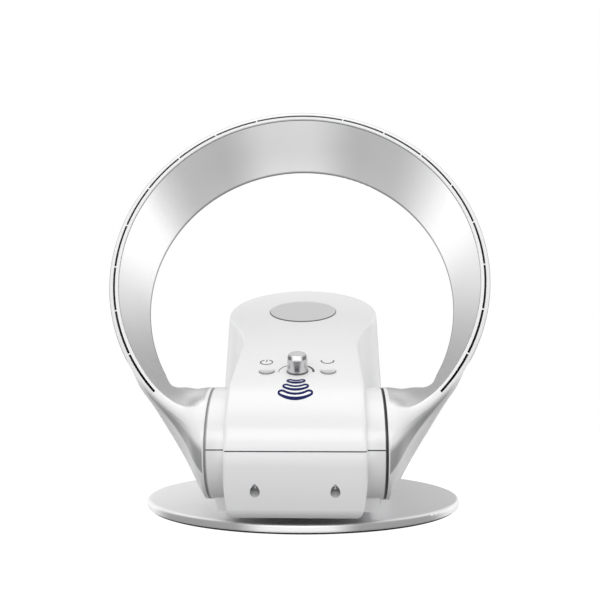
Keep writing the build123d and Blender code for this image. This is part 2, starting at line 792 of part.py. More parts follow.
def make_intake_grille():
    """Curved grille: level louvres held by upright ribs inside a frame."""
    low, high = intake_low + seat_gap, intake_high - seat_gap
    half_angle = intake_half_angle - degrees(seat_gap / head_radius)
    grille = column_skin(low, high, shell_wall) & sector(low, high, half_angle)
    opening_angle = half_angle - degrees(grille_frame / head_radius)
    rows = int((high - low - 2 * grille_frame + louvre_thick) / louvre_pitch)
    first = (low + high - rows * louvre_pitch + louvre_thick) / 2
    gap = louvre_pitch - louvre_thick
    starts = [first + k * louvre_pitch for k in range(rows)]
    grille = grille - [sector(start, start + gap, opening_angle) for start in starts]
    step = 2 * opening_angle / (intake_ribs + 1)
    half_height = (high - low) / 2 - 1
    rib = Pos(0, column_radius((low + high) / 2), (low + high) / 2) * Rot(X=column_flare) * block(
        (-0.9, 0.9), (-shell_wall + 0.1, -0.7), (-half_height, half_height))
    ribs = [Pos(0, head_y, 0) * Rot(Z=-opening_angle + step * (k + 1)) * rib for k in range(intake_ribs)]
    return grille + ribs


# ------------------------------------------------------------------ controls
def make_knob():
    """Tapered knob with a soft round top and a small round at its foot."""
    foot = bezel_thick + cap_gap
    crown = knob_radius - knob_height * tan(radians(knob_taper))
    body = Pos(0, 0, foot) * Cone(knob_radius, crown, knob_height, align=stood)
    rims = body.edges().filter_by(GeomType.CIRCLE).sort_by(Axis.Z)
    body = fillet(rims[-1], knob_edge)
    body = fillet(body.edges().filter_by(GeomType.CIRCLE).sort_by(Axis.Z)[0], 0.4)
    return panel_plane * (body - rod(knob_shaft_radius + seat_gap, 0, foot + knob_shaft_reach))


def make_knob_shaft():
    return panel_plane * rod(knob_shaft_radius, -board_depth + 1.0, bezel_thick + knob_shaft_reach - 0.6)


def make_knob_bezel():
    ring = tube(bezel_radius, knob_hole, 0, bezel_thick)
    return panel_plane * ring


def make_speed_sensor():
    """Rotary sensor that the knob's shaft turns in."""
    body = block((-sensor_half, sensor_half), (-sensor_half, sensor_half), (-board_depth, -shell_wall - 0.4))
    return panel_plane * (body - rod(knob_shaft_radius + running_fit, -board_depth + 0.9, 0))


def make_button(side):
    cap = rod(button_radius, -shell_wall - 1.2, button_proud)
    cap = fillet(cap.edges().filter_by(GeomType.CIRCLE).sort_by(Axis.Z)[-1], 0.9)
    cap += rod(button_flange, -shell_wall - 1.2, -shell_wall - slide_gap)
    cap += rod(2.4, switch_top + button_travel + 0.25, -shell_wall - 1.0)
    return panel_plane * Pos(side * button_offset, 0, 0) * cap


def make_plunger(side):
    top = switch_top + button_travel + 0.25
    return panel_plane * Pos(side * button_offset, 0, 0) * rod(plunger_radius, top - 1.9, top)


def make_switch(side):
    body = block((-switch_half, switch_half), (-switch_half, switch_half), (-board_depth, switch_top))
    bore = rod(plunger_radius + running_fit, switch_top - 2.6, 0)
    return panel_plane * Pos(side * button_offset, 0, 0) * (body - bore)


def make_control_board():
    length, width, thick = board_size
    board = block((-length / 2, length / 2), (-width / 2, width / 2), (-board_depth - thick, -board_depth))
    return board_with_holes(panel_plane * board)


def board_with_holes(board):
    for place in board_boss_places():
        board -= place * rod(board_screw_radius + seat_gap, -board_depth - 5, 0)
    return board


def make_board_screws():
    one = screw(board_screw_head, board_screw_head_height, board_screw_radius, board_screw_length)
    one = Rot(X=180) * one
    return [place * Pos(0, 0, -board_depth - board_size[2]) * one for place in board_boss_places()]


# ------------------------------------------------------------------ air duct and its supports
def throat_void():
    return block((-throat_half_width + blower_wall, throat_half_width - blower_wall), (hub_y, head_y),
                 (blower_bottom + blower_wall, blower_top - blower_wall))


def make_cross_duct():
    """Tube along the hub axis, open to the blower behind it."""
    return cross_tube(duct_outer, duct_bore, -duct_end, duct_end) - throat_void()


def make_duct_cradles():
    """Saddles under the duct that also take the front screws."""
    cradles = []
    cradle_top = hub_height - cradle_drop
    for side in (-1, 1):
        span = (side * pocket_side - cradle_half, side * pocket_side + cradle_half)
        saddle = block(span, (hub_y - cradle_front, hub_y + cradle_back), (floor_top, cradle_top))
        arm = pocket_place(side) * rod(cradle_half - 0.4, -20, -2.0 - seat_gap)
        saddle = saddle + (arm & slab(floor_top, cradle_top))
        saddle -= pocket_place(side) * rod(12, -2.0 - seat_gap, 20)
        saddle -= cross_rod(duct_outer, -far, far)
        saddle -= pocket_place(side) * rod(shell_screw_radius + seat_gap, -front_screw_length - tip_gap, 0)
        cradles.append(saddle)
    return cradles


def make_duct_seals():
    ring = cross_tube(shoulder_bore, duct_outer, seal_start, duct_end)
    return [ring, mirrored(ring)]


def make_hub_bush():
    start = spigot_end + clip_thick + slide_gap
    return cross_tube(shoulder_bore, spigot_radius + running_fit, start, shoulder_half_width)


def make_hub_washer():
    bore = spigot_radius + running_fit
    return cross_tube(shoulder_radius - 0.7, bore, shoulder_half_width, arm_face - slide_gap)


# ------------------------------------------------------------------ blower
def at_head(shape):
    return Pos(0, head_y, 0) * shape


def small_screw(length):
    return screw(small_screw_head, small_screw_head_height, small_screw_radius, length)


def lid_screw_bores():
    """Bores of the lid's screws, through the lid and down to the screws' tips."""
    bore = rod(small_screw_radius + seat_gap, blower_top - lid_screw_length - tip_gap, blower_top + 1)
    return [in_head(b, lid_screw_circle) * bore for b in lid_screw_bearings]


def make_blower_housing():
    """Round plenum with a throat that leads forward into the duct."""
    top = blower_top - blower_wall
    throat = block((-throat_half_width, throat_half_width), (hub_y, head_y), (blower_bottom, blower_top))
    housing = at_head(rod(blower_radius, blower_bottom, top)) + throat
    lug = rod(lid_lug_radius, top - lid_lug_height, top)
    housing = housing + [in_head(b, lid_screw_circle) * lug for b in lid_screw_bearings]
    tab_span = (blower_bottom, blower_bottom + blower_tab_thick)
    tab = rod(blower_tab_radius, *tab_span)
    tab += block((-6, 0), (-blower_tab_radius, blower_tab_radius), tab_span)
    housing = housing + [in_head(b, blower_post_circle) * tab for b in blower_post_bearings]
    housing -= at_head(rod(blower_radius - blower_wall, blower_bottom + blower_wall, blower_top + 1))
    housing -= throat_void()
    housing -= cross_rod(duct_outer + seat_gap, -far, far)
    housing -= lid_screw_bores()
    return housing - blower_screw_bores()


def make_blower_screws():
    one = Pos(0, 0, blower_bottom + blower_tab_thick) * screw(
        blower_screw_head, blower_screw_head_height, blower_screw_radius, blower_screw_length)
    return [in_head(b, blower_post_circle) * one for b in blower_post_bearings]


def make_blower_lid():
    low = blower_top - blower_wall
    lid = at_head(rod(blower_radius, low, blower_top))
    lug = rod(lid_lug_radius, low, blower_top)
    lid = lid + [in_head(b, lid_screw_circle) * lug for b in lid_screw_bearings]
    lid += at_head(rod(impeller_eye + 2, impeller_floor + impeller_height + 1, blower_top))
    lid -= at_head(rod(impeller_eye, 0, blower_top + 1))
    throat_meets_round = head_y - sqrt(blower_radius ** 2 - throat_half_width ** 2)
    throat_width = (-throat_half_width - seat_gap, throat_half_width + seat_gap)
    lid -= block(throat_width, (-far, throat_meets_round + throat_lap), (0, far))
    return lid - lid_screw_bores()


def make_lid_screws():
    one = Pos(0, 0, blower_top) * small_screw(lid_screw_length)
    return [in_head(b, lid_screw_circle) * one for b in lid_screw_bearings]


def curved_vane(inner, outer, sweep, low, high):
    """Upright plate that curves from one radius to another while it turns by a sweep."""
    middle = (inner + outer) / 2
    bend = 0.62
    turned = radians(sweep * (1 - bend))
    tip = (outer * cos(radians(sweep)), outer * sin(radians(sweep)))
    centre_line = ThreePointArc((inner, 0), (middle * cos(turned), middle * sin(turned)), tip)
    strip = trace(centre_line, blade_thick)
    return Pos(0, 0, low) * extrude(strip, high - low)


def make_diffuser():
    """Still vanes round the impeller."""
    low = blower_bottom + blower_wall
    height = 12.0
    ring = tube(diffuser_outer, diffuser_inner, low, low + 1.5)
    vane = curved_vane(diffuser_inner + 0.8, diffuser_outer - 0.8, 12, low + 1.0, low + height)
    return at_head(ring + around(vane, diffuser_vanes))


def make_impeller():
    low, high = impeller_floor, impeller_floor + impeller_height
    wheel = rod(impeller_radius, low, low + impeller_disc) + rod(7.5, low, high - 6)
    wheel += tube(impeller_radius, impeller_eye + 1.5, high - shroud_thick, high)
    blade = curved_vane(14, impeller_radius - 0.6, -38, low + 1, high - 0.5)
    wheel = wheel + around(blade, impeller_blades)
    wheel = wheel & rod(impeller_radius, low, high)
    return at_head(wheel - rod(motor_shaft_radius + seat_gap, 0, high + 1))


def make_motor_shaft():
    return at_head(rod(motor_shaft_radius, impeller_floor - 1.0, motor_bottom + motor_height - 0.5))


def motor_screw_bores():
    """Bores of the motor's screws, through the spider's plate and into the can."""
    tip = motor_bottom + motor_screw_bite + tip_gap
    bore = rod(small_screw_radius + seat_gap, motor_bottom - spider_plate - 1, tip)
    return around(Pos(motor_screw_circle, 0, 0) * bore, motor_screws, 90)


def make_motor_spider():
    """Ring on the blower's lid with arms that carry the motor over the inlet."""
    top = motor_bottom
    ring = tube(impeller_eye + 9, impeller_eye + 4, blower_top, top)
    plate = rod(motor_radius, top - spider_plate, top)
    arm = block((0, impeller_eye + 6), (-2.5, 2.5), (top - spider_plate, top))
    spider = ring + plate + around(arm, spider_arms, 30)
    spider -= rod(bearing_radius + 1, 0, top + 1)
    return at_head(spider - motor_screw_bores())


def make_fan_motor():
    low, high = motor_bottom, motor_bottom + motor_height
    can = rod(motor_radius, low, high)
    can = fillet(can.edges().filter_by(GeomType.CIRCLE), 1.5)
    can -= rod(motor_shaft_radius + 1.0, low - 1, high + 1)
    can -= rod(bearing_radius, low - 1, low + bearing_height)
    can -= rod(bearing_radius, high - bearing_height, high + 1)
    can -= motor_screw_bores()
    slot = block((motor_radius - 1.2, motor_radius + 2), (-3, 3), (low + 8, high - 8))
    return at_head(can - around(slot, 8))


def make_motor_bearings():
    low, high = motor_bottom, motor_bottom + motor_height
    return [at_head(tube(bearing_radius, motor_shaft_radius + running_fit, start, start + bearing_height))
            for start in (low, high - bearing_height)]


def make_motor_screws():
    one = Rot(X=180) * small_screw(spider_plate + motor_screw_bite)
    placed = Pos(motor_screw_circle, 0, motor_bottom - spider_plate) * one
    return [at_head(copy) for copy in around(placed, motor_screws, 90)]


# ------------------------------------------------------------------ electronics in the lower shell
def make_main_board():
    top = main_board_bottom + main_board_thick
    return block((-main_board_half_width, main_board_half_width), main_board_ys, (main_board_bottom, top))


def make_capacitors():
    top = main_board_bottom + main_board_thick
    rims = rod(capacitor_radius, top, top + capacitor_height).edges().filter_by(GeomType.CIRCLE)
    can = fillet(rims.sort_by(Axis.Z)[-1], capacitor_edge)
    y = main_board_ys[0] + capacitor_inset
    return [Pos(x, y, 0) * can for x in (-capacitor_offset, capacitor_offset)]


def make_heat_sink():
    top = main_board_bottom + main_board_thick
    y = main_board_ys[1] - sink_inset
    depth = (y - sink_half_depth, y + sink_half_depth)
    sink = block((-sink_half_width, sink_half_width), depth, (top, top + sink_plate))
    step = (2 * sink_half_width - fin_thick) / (sink_fins - 1)
    starts = [-sink_half_width + step * k for k in range(sink_fins)]
    return sink + [block((x, x + fin_thick), depth, (top + sink_plate - 1, top + sink_height)) for x in starts]


def make_power_inlet():
    """Low-voltage socket behind the column: a round nose in the wall and a centre pin in its bore."""
    inner_wall = inlet_back - shell_wall - inlet_inset
    along_back = Pos(0, inner_wall, inlet_height) * Rot(X=-90)
    nose = along_back * rod(inlet_nose, -1, shell_wall)
    width = (-inlet_half_width, inlet_half_width)
    height = (floor_top, inlet_height + inlet_half_width)
    body = block(width, (inner_wall - inlet_body_depth, inner_wall), height) + nose
    body -= along_back * rod(inlet_bore, -inlet_bore_depth, far)
    return body + along_back * rod(inlet_pin, -inlet_bore_depth - root, shell_wall - 0.9)


# ------------------------------------------------------------------ ring and arms, in the upright ring frame
def section_wire(points):
    """Closed outline of arcs; points alternate corner and middle, and the last arc closes it."""
    count = len(points)
    arcs = [ThreePointArc(points[k], points[k + 1], points[(k + 2) % count]) for k in range(0, count, 2)]
    return Wire([edge for arc in arcs for edge in arc.edges()])


def ring_profile():
    """Ring section as radius and depth behind the slot plane: lip, shoulder, outer face, nose, inner face."""
    nose = ring_depth - 2.4
    middle = (lip_outer_radius + back_outer_radius) / 2 + ring_bulge
    return [(lip_inner_radius, 0), (ring_radius, -0.5), (lip_outer_radius, 0.6),
            (lip_outer_radius + 0.2, 3.0), (lip_outer_radius + 0.2, 6.0), (middle, 38.0),
            (back_outer_radius, nose), ((back_inner_radius + back_outer_radius) / 2, ring_depth),
            (back_inner_radius, nose), ((lip_inner_radius + back_inner_radius) / 2 - 0.8, nose / 2)]


def cavity_profile(retreat=0.0):
    """Air space inside the ring section, as radius and depth; it can stop short of the nose."""
    nose = ring_depth - 2.4 - ring_wall - retreat
    front = ring_wall
    outer_mid = (lip_outer_radius + back_outer_radius) / 2 + ring_bulge - ring_wall
    inner_mid = (lip_inner_radius + back_inner_radius) / 2 + ring_wall - 0.8
    return [(lip_inner_radius + ring_wall - 0.4, front), (ring_radius, front - 0.1),
            (lip_outer_radius - ring_wall, front), (outer_mid, 38.0), (back_outer_radius - ring_wall, nose),
            ((back_inner_radius + back_outer_radius) / 2, nose + 0.7), (back_inner_radius + ring_wall, nose),
            (inner_mid, nose / 2)]


def radial_points(profile, bearing):
    """Profile points in space, on the half plane through the ring's axis at a bearing from the top."""
    turn = radians(bearing)
    return [(r * sin(turn), depth - ring_forward, ring_rise + r * cos(turn)) for r, depth in profile]


def flat_section(profile):
    return make_face(section_wire(radial_points(profile, 0)))


def revolved(face, start, stop):
    """Face at the top of the ring, swept about the ring's axis from one bearing to another."""
    swept = revolve(face, ring_axis, stop - start)
    return Pos(0, 0, ring_rise) * Rot(Y=start) * Pos(0, 0, -ring_rise) * swept


def slot_spans():
    """Bearings between which the lip is open: segments 15 degrees apart, one long one at the top."""
    half_bridge = degrees(slot_bridge / 2 / ring_radius)
    marks = [slot_pitch * k for k in range(1, int(slot_end / slot_pitch) + 1)]
    spans = [(-marks[0] + half_bridge, marks[0] - half_bridge)]
    for low, high in zip(marks, marks[1:] + [slot_end + half_bridge]):
        spans.append((low + half_bridge, high - half_bridge))
        spans.append((-high + half_bridge, -low - half_bridge))
    return spans


def slot_cutters():
    """The air slot's segments, deep enough to open the lip."""
    radii = (ring_radius - slot_width / 2, ring_radius + slot_width / 2)
    corners = [(radii[0], -3.0), (radii[1], -3.0), (radii[1], ring_wall + 2.5), (radii[0], ring_wall + 2.5)]
    outline = make_face(Polyline(*radial_points(corners, 0), close=True))
    return [revolved(outline, low, high) for low, high in slot_spans()]


def inner_shell_zone():
    """Region of the section that belongs to the inner shell: its inner wall and the back nose."""
    split = (back_inner_radius + back_outer_radius) / 2
    corners = [(100, ring_wall), (ring_radius - 0.9, ring_wall), (split + 0.6, ring_depth - 6.0),
               (200, ring_depth - 6.0), (200, 100), (100, 100)]
    return make_face(Polyline(*radial_points(corners, 0), close=True))


def make_ring_shells():
    """White outer shell with the slotted lip, and the silver inner shell with the rounded back edge."""
    wall = flat_section(ring_profile()) - flat_section(cavity_profile())
    zone = inner_shell_zone()
    outer = revolved(wall - zone, -ring_end, ring_end)
    inner = revolved(wall & zone, -ring_end, ring_end)
    for cutter in slot_cutters():
        outer -= cutter
    return outer, inner


def arm_section(points):
    """Corner and middle points of an arm's section, moved into the ring's upright frame."""
    return [(x, depth - ring_forward, up) for x, up, depth in points]


def hub_circle(radius, bearings):
    """Points of the hub's circle; bearings in degrees from straight ahead, up positive."""
    return [(hub_x, -radius * cos(radians(b)), radius * sin(radians(b))) for b in bearings]


def arm_form(profile, inner_sections, radius, bearings):
    """Loft from the ring's section through the arm's own sections to a circle at the hub."""
    middle = [arm_section(points) for points in inner_sections]
    upper = [radial_points(profile, bearing) for bearing in (ring_end, ring_corner)]
    sections = [*upper, *middle, hub_circle(radius, bearings)]
    return Solid.make_loft([section_wire(points) for points in sections])


def make_arm(side):
    """Hollow arm from the ring's end down to its round hub, with the spigot that turns in the shoulder."""
    skin = arm_form(ring_profile(), (arm_root, arm_waist, arm_neck), shoulder_radius, arm_hub_bearings)
    void_sections = (duct_root, duct_waist, duct_neck)
    void = arm_form(cavity_profile(nose_retreat), void_sections, spigot_bore, duct_hub_bearings)
    along_x = Rot(Y=90)
    hub = along_x * rod(shoulder_radius, arm_face, hub_x) + along_x * rod(spigot_radius, spigot_end, arm_face)
    arm = skin + hub - void - along_x * rod(spigot_bore, spigot_end - 1, hub_x)
    for cutter in slot_cutters()[-2:]:
        arm -= cutter
    arm = ring_place * arm
    return arm if side > 0 else mirrored(arm)


def make_spigot_clip(side):
    ring = cross_tube(spigot_radius + 2.3, spigot_radius, spigot_end, spigot_end + clip_thick)
    return ring if side > 0 else mirrored(ring)


# ------------------------------------------------------------------ all nodes
def build_base():
    save("base_pad", make_base_pad())
    save("base_disc", make_base_disc())
    save("pivot_post", make_pivot_post())
    save("post_screws", *make_post_screws())
    save("thrust_washer", make_thrust_washer())
    save("drive_gear", make_drive_gear())
    save("gear_screws", *make_gear_screws())


def build_shells():
    form = body_form(0)
    void = body_form(shell_wall, shoulder_half_width + 1)      # runs out through the shoulders' ends
    save("lower_shell", make_lower_shell(form, void, body_form(groove_depth)))
    save("upper_shell", make_upper_shell(form, void))
    save("shell_screws", *make_shell_screws())
    save("front_screws", *make_front_screws())
    save("badge", make_badge())
    save("intake_grille", make_intake_grille())


def build_controls():
    save("knob", make_knob())
    save("knob_shaft", make_knob_shaft())
    save("knob_bezel", make_knob_bezel())
    save("speed_sensor", make_speed_sensor())
    save("control_board", make_control_board())
    save("board_screws", *make_board_screws())
    for name, side in (("power", -1), ("swing", 1)):
        save(name + "_button", make_button(side))
        save(name + "_plunger", make_plunger(side))
        save(name + "_switch", make_switch(side))


def build_air_path():
    save("blower_housing", make_blower_housing())
    save("blower_screws", *make_blower_screws())
    save("blower_lid", make_blower_lid())
    save("lid_screws", *make_lid_screws())
    save("diffuser", make_diffuser())
    save("impeller", make_impeller())
    save("motor_shaft", make_motor_shaft())
    save("motor_spider", make_motor_spider())
    save("fan_motor", make_fan_motor())
    save("motor_bearings", *make_motor_bearings())
    save("motor_screws", *make_motor_screws())
    save("cross_duct", make_cross_duct())
    save("duct_cradles", *make_duct_cradles())
    save("duct_seals", *make_duct_seals())


def build_electrics():
    save("main_board", make_main_board())
    save("capacitors", *make_capacitors())
    save("heat_sink", make_heat_sink())
    save("power_inlet", make_power_inlet())
    save("swing_motor", make_swing_motor())
    save("swing_motor_screws", *make_swing_motor_screws())
    save("swing_shaft", make_swing_shaft())
    save("drive_pinion", make_drive_pinion())


def build_ring():
    outer, inner = make_ring_shells()
    save("ring_outer_shell", ring_place * outer)
    save("ring_inner_shell", ring_place * inner)
    for name, side in (("left", -1), ("right", 1)):
        save("arm_" + name, make_arm(side))
        save("spigot_clip_" + name, make_spigot_clip(side))
        bush, washer = make_hub_bush(), make_hub_washer()
        save("hub_bush_" + name, bush if side > 0 else mirrored(bush))
        save("hub_washer_" + name, washer if side > 0 else mirrored(washer))


build_base()
build_shells()
build_controls()
build_air_path()
build_electrics()
build_ring()
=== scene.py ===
"""Looks for the bladeless fan: finishes for every node, printed marks on the panel, floor, light and camera.

All lengths are in metres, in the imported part's own frame: +Z up, -Y the front, +X to the viewer's right.
"""
import json
from math import cos, radians, sin, tan

import bpy
from mathutils import Matrix, Vector


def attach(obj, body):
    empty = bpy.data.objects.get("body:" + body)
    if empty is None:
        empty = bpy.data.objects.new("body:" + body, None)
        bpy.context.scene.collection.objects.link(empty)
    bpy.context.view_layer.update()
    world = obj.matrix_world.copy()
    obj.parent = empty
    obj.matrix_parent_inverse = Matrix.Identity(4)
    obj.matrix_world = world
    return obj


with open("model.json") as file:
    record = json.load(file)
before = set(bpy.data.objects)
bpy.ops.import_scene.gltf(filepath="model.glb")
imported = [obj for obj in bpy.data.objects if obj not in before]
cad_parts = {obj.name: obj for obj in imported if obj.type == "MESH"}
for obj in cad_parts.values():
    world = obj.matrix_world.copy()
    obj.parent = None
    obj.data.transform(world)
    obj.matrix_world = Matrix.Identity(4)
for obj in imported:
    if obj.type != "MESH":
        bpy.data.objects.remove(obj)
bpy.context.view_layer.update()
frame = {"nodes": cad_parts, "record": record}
nodes = frame["nodes"]

# ------------------------------------------------------------------ photograph's camera
camera_place = (0.01892, -0.60536, 0.10217)
camera_pitch = 7.71          # degrees up
camera_yaw = 2.052           # degrees to the left
camera_lens = 36.68
sensor = 36.0

# ------------------------------------------------------------------ places on the solid model
hub = Vector((0, -0.1236, 0.0638))
panel_slope = radians(24.8)
front_radius = 0.0512
knob_back = -0.1306          # the knob's place along Y
panel_at_knob = hub.z + front_radius / cos(panel_slope) + (knob_back - hub.y) * tan(panel_slope)
ring_lean = radians(14.66)
ring_rise = 0.1323           # ring's centre above the hub, along the ring's own upright
ring_forward = 0.0328        # lip's plane in front of the hub
parting_low = 0.06115
parting_high = 0.06205
badge_back = 0.0058          # the badge's place along Y
pocket_side = 0.0272         # front screw pockets, either side of the middle
slot_radius = 0.1461         # middle of the ring's air space at the lip
slot_draw_in = 0.135         # it draws in by this share of its depth
slot_half = 0.0022           # half of its width
ring_front_part = (0.036, 0.040)     # painted shade in the slot and along the lip's joint ends at this depth behind the lip


# ------------------------------------------------------------------ shader helpers
def principled(name):
    """New material with its shader; returns the material, its node tree and the shader."""
    material = bpy.data.materials.new(name)
    material.use_nodes = True
    tree = material.node_tree
    return material, tree, tree.nodes["Principled BSDF"]


def put(tree, socket, value):
    """Sets a socket to a number or colour, or links another node's output to it."""
    if isinstance(value, (int, float)):
        socket.default_value = value
    elif isinstance(value, tuple):
        socket.default_value = (*value, 1)
    else:
        tree.links.new(value, socket)


def maths(tree, operation, *values):
    """Result of one sum."""
    node = tree.nodes.new("ShaderNodeMath")
    node.operation = operation
    for socket, value in zip(node.inputs, values):
        put(tree, socket, value)
    return node.outputs["Value"]


def ramp(tree, value, start, stop, low=0.0, high=1.0):
    """Smooth step of a value between two limits."""
    step = tree.nodes.new("ShaderNodeMapRange")
    step.interpolation_type = "SMOOTHSTEP"
    for name, number in (("From Min", start), ("From Max", stop), ("To Min", low), ("To Max", high)):
        step.inputs[name].default_value = number
    tree.links.new(value, step.inputs["Value"])
    return step.outputs["Result"]


def fall(tree, value, start, stop, high=1.0):
    """Smooth step down to nothing between two limits."""
    return ramp(tree, value, start, stop, high, 0.0)


def product(tree, first, *others):
    """Product of masks or numbers."""
    for other in others:
        first = maths(tree, "MULTIPLY", first, other)
    return first


def between(tree, value, low, high):
    """Mask that rises over the low pair of limits and falls over the high pair."""
    return product(tree, ramp(tree, value, *low), fall(tree, value, *high))


def distance(tree, value, target):
    """Distance of a value from another."""
    return maths(tree, "ABSOLUTE", maths(tree, "SUBTRACT", value, target))


def length(tree, first, second):
    """Length of a diagonal."""
    return maths(tree, "SQRT", maths(tree, "ADD", product(tree, first, first), product(tree, second, second)))


def blended(tree, factor, first, second):
    """Colour between two colours."""
    mix = tree.nodes.new("ShaderNodeMix")
    mix.data_type = "RGBA"
    put(tree, mix.inputs["Factor"], factor)
    for socket, value in zip([s for s in mix.inputs if s.type == "RGBA"], (first, second)):
        put(tree, socket, value)
    return next(s for s in mix.outputs if s.type == "RGBA")


def noise(tree, scale, detail=2.0, stretch=(1, 1, 1)):
    """Noise over the object's own coordinates."""
    coords = tree.nodes.new("ShaderNodeTexCoord")
    mapping = tree.nodes.new("ShaderNodeMapping")
    mapping.inputs["Scale"].default_value = stretch
    texture = tree.nodes.new("ShaderNodeTexNoise")
    texture.inputs["Scale"].default_value = scale
    texture.inputs["Detail"].default_value = detail
    tree.links.new(coords.outputs["Object"], mapping.inputs["Vector"])
    tree.links.new(mapping.outputs["Vector"], texture.inputs["Vector"])
    return texture.outputs["Fac"]


def split(tree, vector):
    """The three parts of a vector."""
    parts = tree.nodes.new("ShaderNodeSeparateXYZ")
    tree.links.new(vector, parts.inputs["Vector"])
    return parts.outputs["X"], parts.outputs["Y"], parts.outputs["Z"]


def place(tree):
    """The object's own coordinates, which are the part's frame at rest."""
    return split(tree, tree.nodes.new("ShaderNodeTexCoord").outputs["Object"])


def facing(tree):
    """Which way the surface faces, in the object's own frame."""
    return split(tree, tree.nodes.new("ShaderNodeTexCoord").outputs["Normal"])


def ring_place(tree):
    """Distance from the ring's axis, depth behind the lip, and places aside and above, in the ring's own frame."""
    coords = tree.nodes.new("ShaderNodeTexCoord")
    mapping = tree.nodes.new("ShaderNodeMapping")
    mapping.inputs["Rotation"].default_value = (ring_lean, 0, 0)
    mapping.inputs["Location"].default_value = -(Matrix.Rotation(ring_lean, 3, "X") @ hub) + Vector(
        (0, ring_forward, -ring_rise))
    tree.links.new(coords.outputs["Object"], mapping.inputs["Vector"])
    x, depth, up = split(tree, mapping.outputs["Vector"])
    return length(tree, x, up), depth, x, up


def base_finish(name, colour, roughness, metallic=0.0, coat=0.0, mottle=0.03, mottle_scale=12.0,
                grain=0.0, grain_scale=900.0, spread=0.04, stretch=(1, 1, 1)):
    """Moulded, painted or metal finish: faint mottling, uneven gloss and a fine grain.

    Returns the material, its tree, its shader and the colour's output, for what a place adds to it.
    """
    material, tree, shader = principled(name)
    broad = noise(tree, mottle_scale)
    fine = noise(tree, grain_scale, 3.0, stretch)
    dark = tuple(c * (1 - mottle) for c in colour)
    tone = blended(tree, broad, dark, colour)
    tree.links.new(tone, shader.inputs["Base Color"])
    tree.links.new(ramp(tree, fine, 0.3, 0.7, roughness - spread, roughness + spread), shader.inputs["Roughness"])
    shader.inputs["Metallic"].default_value = metallic
    shader.inputs["Coat Weight"].default_value = coat
    shader.inputs["Coat Roughness"].default_value = 0.08
    if grain:
        bump = tree.nodes.new("ShaderNodeBump")
        bump.inputs["Strength"].default_value = grain
        bump.inputs["Distance"].default_value = 0.0002
        tree.links.new(fine, bump.inputs["Height"])
        tree.links.new(bump.outputs["Normal"], shader.inputs["Normal"])
    return material, tree, shader, tone


def finish(name, *values, **options):
    """A finish that is the same at every place."""
    return base_finish(name, *values, **options)[0]


# ------------------------------------------------------------------ finishes
white = (0.85, 0.85, 0.853)
# painted highlight for the body's upright front
front_painted_highlight = (0.96, 0.96, 0.962)
silver = (0.80, 0.80, 0.805)
ring_top_painted_light = (0.92, 0.92, 0.925)
ring_painted_reflections = ((6, 28, 0.62), (40, 64, 0.93), (70, 94, 0.75))     # painted reflections: from and to bearing in degrees, tone reached
# painted shade, near black, for the slot, the shell groove, the front pockets and beside the hub joints
shade = (0.028, 0.028, 0.029)
arm_hollow_painted_shade = (0.33, 0.33, 0.335)
rim_painted_shade = (0.36, 0.36, 0.37)
lip_joint_painted_shade = (0.12, 0.12, 0.125)
back_edge_painted_shade = (0.24, 0.235, 0.23)
white_look = {"mottle": 0.008, "mottle_scale": 5.0, "spread": 0.02, "coat": 0.3}


def body_white(name, shaded):
    """White plastic, with a painted highlight that makes the upright front brightest; the mask of a given function
    paints shade into joints and hollows.
    """
    material, tree, shader, tone = base_finish(name, white, 0.3, **white_look)
    x, y, z = place(tree)
    # painted highlight: a brighter band across the upright front, between these heights and within these sides
    level = between(tree, z, (0.050, 0.060), (0.066, 0.080))
    front = product(tree, fall(tree, y, -0.165, -0.155), fall(tree, maths(tree, "ABSOLUTE", x), 0.050, 0.060))
    tone = blended(tree, product(tree, level, front), tone, front_painted_highlight)
    tree.links.new(blended(tree, shaded(tree), tone, shade), shader.inputs["Base Color"])
    return material


def joint_shade_mask(tree):
    """Painted shade in the groove between the two shells, inside the front pockets and on the rims beside the hub
    joints.
    """
    x, y, z = place(tree)
    # painted shade on the white tongue seen in the groove between the shells
    groove = between(tree, z, (parting_low - 0.00002, parting_low + 0.00006),
                     (parting_high - 0.00006, parting_high + 0.00002))
    _, turned, _ = facing(tree)
    off = distance(tree, maths(tree, "ABSOLUTE", x), pocket_side)
    near = product(tree, fall(tree, off, 0.0038, 0.0040), fall(tree, y, -0.160, -0.158))
    inside = product(tree, near, ramp(tree, turned, -0.93, -0.86))
    level = between(tree, z, (0.026, 0.027), (0.046, 0.047))
    # painted shade inside the front pockets, heavier towards their tops
    pocket = product(tree, inside, level, ramp(tree, z, 0.029, 0.040, 0.35, 0.95))
    # painted shade beside the hub joints, full on the right and at 0.45 strength on the left
    ends = maths(tree, "ADD", ramp(tree, x, 0.0620, 0.0624), fall(tree, x, -0.0624, -0.0620, 0.45))
    ends = product(tree, ends, fall(tree, y, -0.077, -0.075))
    return maths(tree, "MAXIMUM", maths(tree, "MAXIMUM", groove, pocket), ends)


def slot_shade_mask(tree):
    """Painted shade that darkens the air space behind the slot, between the ring's two walls."""
    radius, depth, _, _ = ring_place(tree)
    middle = maths(tree, "SUBTRACT", slot_radius, product(tree, depth, slot_draw_in))
    off = distance(tree, radius, middle)
    deep = between(tree, depth, (0.0003, 0.0007), ring_front_part)
    return product(tree, fall(tree, off, slot_half - 0.0001, slot_half + 0.0001), deep)


def lip_white():
    """White outer shell of the ring with painted shade: dark air space, grey line round the rim and at the joint to
    the inner shell.
    """
    material, tree, shader, tone = base_finish("lip_white", white, 0.3, **white_look)
    radius, depth, _, _ = ring_place(tree)
    # painted shade: grey along the outer rim and at the joint to the inner shell
    rim = product(tree, ramp(tree, radius, 0.1488, 0.1494), fall(tree, depth, 0.003, 0.006))
    near_lip = between(tree, depth, (0.0009, 0.0012), ring_front_part)
    joint = product(tree, near_lip, fall(tree, radius, 0.1428, 0.1431))
    tone = blended(tree, rim, tone, rim_painted_shade)
    tone = blended(tree, joint, tone, lip_joint_painted_shade)
    tree.links.new(blended(tree, slot_shade_mask(tree), tone, shade), shader.inputs["Base Color"])
    return material


